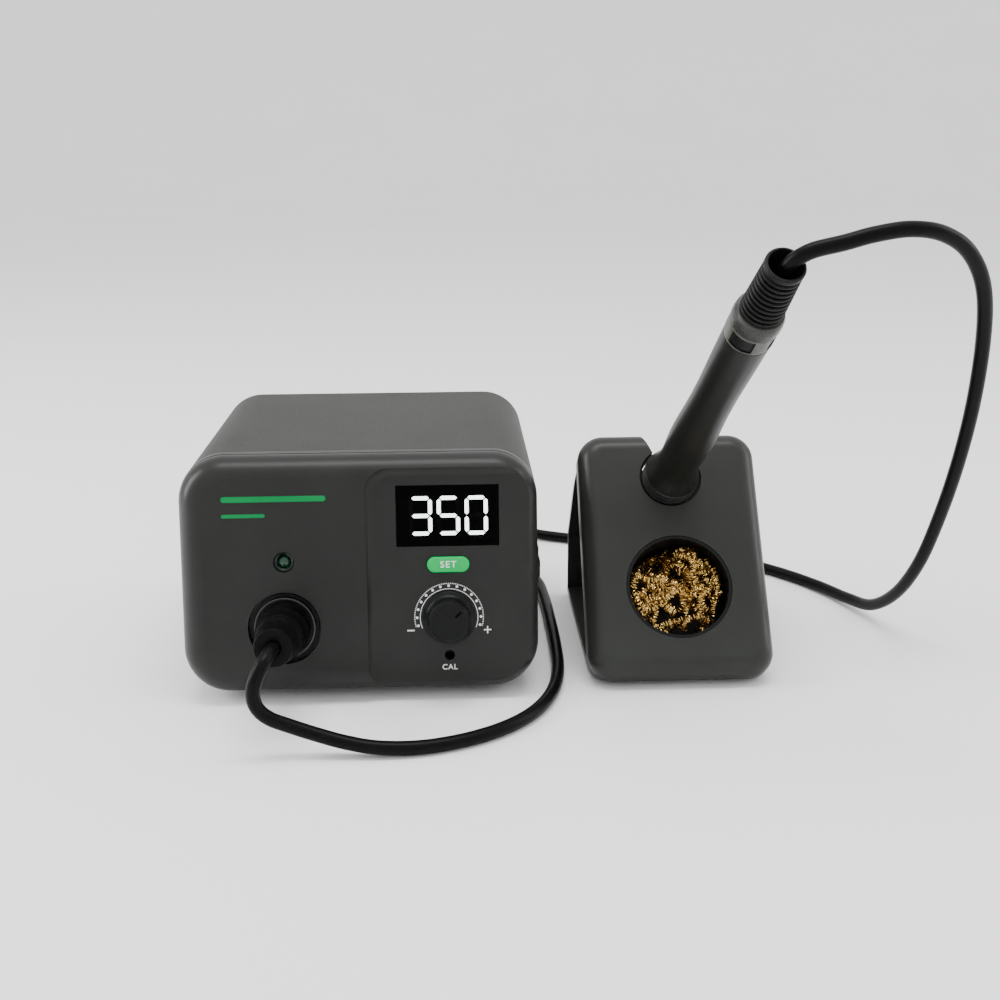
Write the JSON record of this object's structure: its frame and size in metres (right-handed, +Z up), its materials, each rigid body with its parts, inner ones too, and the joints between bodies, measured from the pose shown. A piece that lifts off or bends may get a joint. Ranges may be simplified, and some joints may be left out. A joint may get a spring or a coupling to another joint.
{
  "type": "soldering iron station",
  "caption": "Bench soldering station: control unit with display, knob and set button, a corded soldering iron, and a sloped iron stand with a cup of brass wool.",
  "frame": {"origin": "on the surface it stands on, under the middle of the object without its cord and plug", "axes": "+Z up, the control unit's front looks along -Y, and the stand is beside the control unit along +X"},
  "size_m": [0.3038, 0.2683, 0.1886],
  "materials": {
    "housing_plastic": "fine spark texture",
    "cover_paint": "satin powder coat",
    "black_plastic": "satin",
    "window": "gloss",
    "lit_segments": "lit",
    "white_plastic": "satin",
    "circuit_board": "solder mask",
    "green_plastic": "satin",
    "print_white": "pad print",
    "print_green": "pad print",
    "knob_plastic": "fine matt",
    "steel": "zinc plated",
    "plated_metal": "nickel plated",
    "brass_contact": "gold flashed",
    "green_lens": "dark tinted",
    "rubber": "matt",
    "cord_rubber": "silicone, satin",
    "copper_winding": "taped winding",
    "core_steel": "varnished laminations",
    "aluminium": "extruded",
    "capacitor_sleeve": "heat-shrunk sleeve",
    "glass": "clear",
    "stand_plastic": "soft matt",
    "brass_turnings": "bright",
    "grip_rubber": "soft satin",
    "barrel_steel": "heat-tinted",
    "ceramic": "sintered",
    "tip_plating": "iron plated"
  },
  "bodies": {
    "station": {"front_bezel": "housing_plastic", "housing_cover": "cover_paint", "base_plate": "black_plastic", "rear_panel": "black_plastic", "rubber_feet": "rubber", "case_screws": "steel", "display_window": "window", "display_segments": "lit_segments", "display_module": "white_plastic", "front_pcb": "circuit_board", "tact_switch": "black_plastic", "dial_scale": "print_white", "pot_body": "steel", "pot_nut": "plated_metal", "cal_trimmer": "capacitor_sleeve", "indicator_lens": "green_lens", "indicator_led": "green_plastic", "front_mark": "print_green", "switch_frame": "black_plastic", "socket_housing": "black_plastic", "socket_nut": "plated_metal", "socket_contacts": "brass_contact", "mains_inlet": "black_plastic", "inlet_pins": "brass_contact", "earth_socket": "green_plastic", "transformer_core": "core_steel", "transformer_winding": "copper_winding", "transformer_strap": "steel", "main_pcb": "circuit_board", "pcb_standoffs": "white_plastic", "heatsink": "aluminium", "capacitor": "capacitor_sleeve", "stand_front_shell": "stand_plastic", "stand_frame": "stand_plastic", "wool_cup": "black_plastic", "brass_wool": "brass_turnings", "holder_bush": "rubber", "stand_feet": "rubber", "stand_screws": "steel", "cord_plug_side": "cord_rubber", "cord_coil": "cord_rubber", "cord_iron_side": "cord_rubber"},
    "set_button": {"set_button": "green_plastic"},
    "knob": {"knob": "knob_plastic", "pot_shaft": "aluminium"},
    "cal_rotor": {"cal_rotor": "white_plastic"},
    "rocker": {"switch_rocker": "black_plastic"},
    "plug": {"plug_body": "cord_rubber", "plug_contacts": "plated_metal"},
    "fuse_drawer": {"fuse_drawer": "black_plastic", "fuse": "glass"},
    "iron": {"iron_collar": "grip_rubber", "iron_grip": "grip_rubber", "iron_core": "black_plastic", "iron_ring": "black_plastic", "iron_relief": "rubber", "barrel_nut": "black_plastic", "barrel": "barrel_steel", "heater": "ceramic", "iron_tip": "tip_plating"}
  },
  "joints": [
    {"name": "set_button_press", "type": "slide", "parent": "station", "child": "set_button", "axis": [0, 0.9848, -0.1736], "range_m": [0, 0.0008], "stiffness_N_per_m": 400, "springref_m": -0.0006},
    {"name": "knob_turn", "type": "hinge", "parent": "station", "child": "knob", "pos_m": [-0.01337, -0.0355, 0.03363], "axis": [0, -0.9848, 0.1736], "range_deg": [-57, 153]},
    {"name": "cal_turn", "type": "hinge", "parent": "station", "child": "cal_rotor", "pos_m": [-0.01337, -0.03814, 0.01866], "axis": [0, -0.9848, 0.1736], "range_deg": [-105, 105]},
    {"name": "rocker_tilt", "type": "hinge", "parent": "station", "child": "rocker", "pos_m": [0.02202, -0.0084, 0.047], "axis": [0, 1, 0], "range_deg": [0, 20]},
    {"name": "plug_pull", "type": "slide", "parent": "station", "child": "plug", "axis": [0, -0.9848, 0.1736], "range_m": [0, 0.014], "deforming": ["cord_plug_side"]},
    {"name": "fuse_drawer_slide", "type": "slide", "parent": "station", "child": "fuse_drawer", "axis": [0, 1, 0], "range_m": [0, 0.012]},
    {"name": "iron_lift_out", "type": "slide", "parent": "station", "child": "iron", "axis": [0.0953, -0.7335, 0.673], "range_m": [0, 0.09], "deforming": ["cord_iron_side"]}
  ]
}
